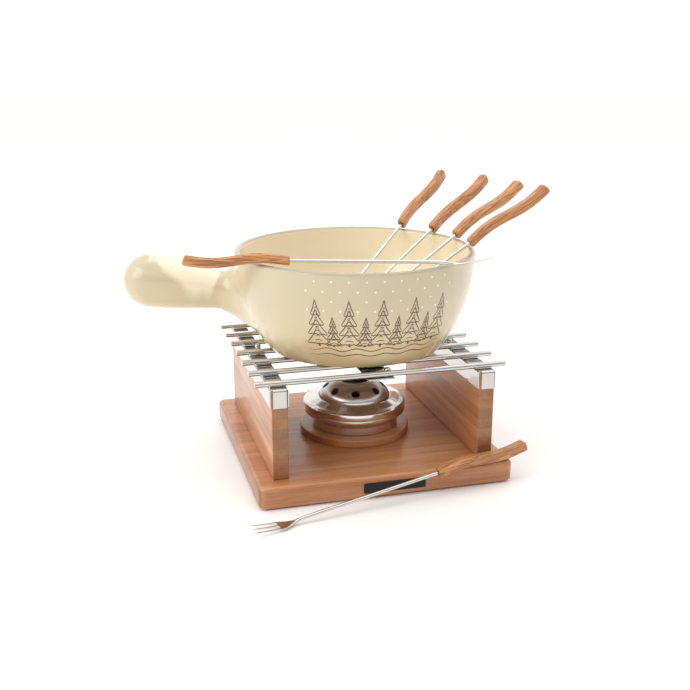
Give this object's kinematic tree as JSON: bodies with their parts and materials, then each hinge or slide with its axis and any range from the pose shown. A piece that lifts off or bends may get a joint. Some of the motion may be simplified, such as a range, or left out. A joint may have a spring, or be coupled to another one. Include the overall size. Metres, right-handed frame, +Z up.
{
  "type": "fondue pot set",
  "caption": "Glazed fondue pot with a bulbous side handle on a chrome bar grate over an open wooden stand, with a domed fuel burner below and long wooden-gripped forks.",
  "frame": {"origin": "middle of the base board's underside, on the table", "axes": "+Z up; -Y is the open front with the plaque; +X runs across the stand, away from the pot's handle, along the grate bars"},
  "size_m": [0.3879, 0.2888, 0.2512],
  "materials": {
    "bamboo": "satin lacquered laminated strips, warm orange-brown",
    "olive_wood": "oiled, dark streaked grain",
    "chrome": "bright chrome plate",
    "steel": "polished stainless steel",
    "burner_steel": "satin stainless steel",
    "glaze": "glossy cream glaze",
    "plaque": "satin black, blank",
    "wool": "matte mineral wool"
  },
  "bodies": {
    "stand": {"base_board": "bamboo", "left_wall": "bamboo", "right_wall": "bamboo", "burner_seat": "bamboo", "blank_plaque": "plaque", "wall_screw_1": "steel", "wall_screw_2": "steel", "wall_screw_3": "steel", "wall_screw_4": "steel"},
    "grate": {"left_channel": "chrome", "right_channel": "chrome", "grate_bar_1": "chrome", "grate_bar_2": "chrome", "grate_bar_3": "chrome", "grate_bar_4": "chrome", "grate_bar_5": "chrome", "grate_bar_6": "chrome", "grate_bar_7": "chrome", "front_stop_plate": "chrome", "back_stop_plate": "chrome", "front_stop_ball": "chrome", "back_stop_ball": "chrome", "left_stop_ball": "chrome", "right_stop_ball": "chrome"},
    "pot": {"pot": "glaze"},
    "fork_1": {"fork_1_grip": "olive_wood", "fork_1_shaft": "steel"},
    "fork_2": {"fork_2_grip": "olive_wood", "fork_2_shaft": "steel"},
    "fork_3": {"fork_3_grip": "olive_wood", "fork_3_shaft": "steel"},
    "fork_4": {"fork_4_grip": "olive_wood", "fork_4_shaft": "steel"},
    "fork_5": {"fork_5_grip": "olive_wood", "fork_5_shaft": "steel"},
    "fork_6": {"fork_6_grip": "olive_wood", "fork_6_shaft": "steel"},
    "burner": {"fuel_cup": "burner_steel", "wool_pad": "wool", "wire_gauze": "burner_steel"},
    "burner_top": {"burner_cover": "burner_steel", "flame_dome": "burner_steel"},
    "regulator": {"flame_regulator": "burner_steel"}
  },
  "joints": [
    {"name": "grate_lift", "type": "slide", "parent": "stand", "child": "grate", "axis": [0, 0, 1], "range_m": [0, 0.06]},
    {"name": "pot_lift", "type": "slide", "parent": "grate", "child": "pot", "axis": [0, 0, 1], "range_m": [0, 0.08]},
    {"name": "fork_1_pull", "type": "slide", "parent": "pot", "child": "fork_1", "axis": [0.6506, 0.5455, 0.5284], "range_m": [0, 0.19]},
    {"name": "fork_2_pull", "type": "slide", "parent": "pot", "child": "fork_2", "axis": [0.7451, 0.4102, 0.5259], "range_m": [0, 0.19]},
    {"name": "fork_3_pull", "type": "slide", "parent": "pot", "child": "fork_3", "axis": [0.7993, 0.2632, 0.5402], "range_m": [0, 0.19]},
    {"name": "fork_4_pull", "type": "slide", "parent": "pot", "child": "fork_4", "axis": [0.8136, 0.0844, 0.5753], "range_m": [0, 0.19]},
    {"name": "fork_5_lift", "type": "slide", "parent": "pot", "child": "fork_5", "axis": [0, 0, 1], "range_m": [0, 0.05]},
    {"name": "fork_6_lift", "type": "slide", "parent": "stand", "child": "fork_6", "axis": [0, 0, 1], "range_m": [0, 0.05]},
    {"name": "burner_slide", "type": "slide", "parent": "stand", "child": "burner", "axis": [0, 1, 0], "range_m": [0, 0.16]},
    {"name": "burner_top_lift", "type": "slide", "parent": "burner", "child": "burner_top", "axis": [0, 0, 1], "range_m": [0, 0.025]},
    {"name": "regulator_turn", "type": "hinge", "parent": "burner_top", "child": "regulator", "pos_m": [0, 0, 0.052], "axis": [0, 0, 1], "range_deg": [0, 22.5]}
  ]
}
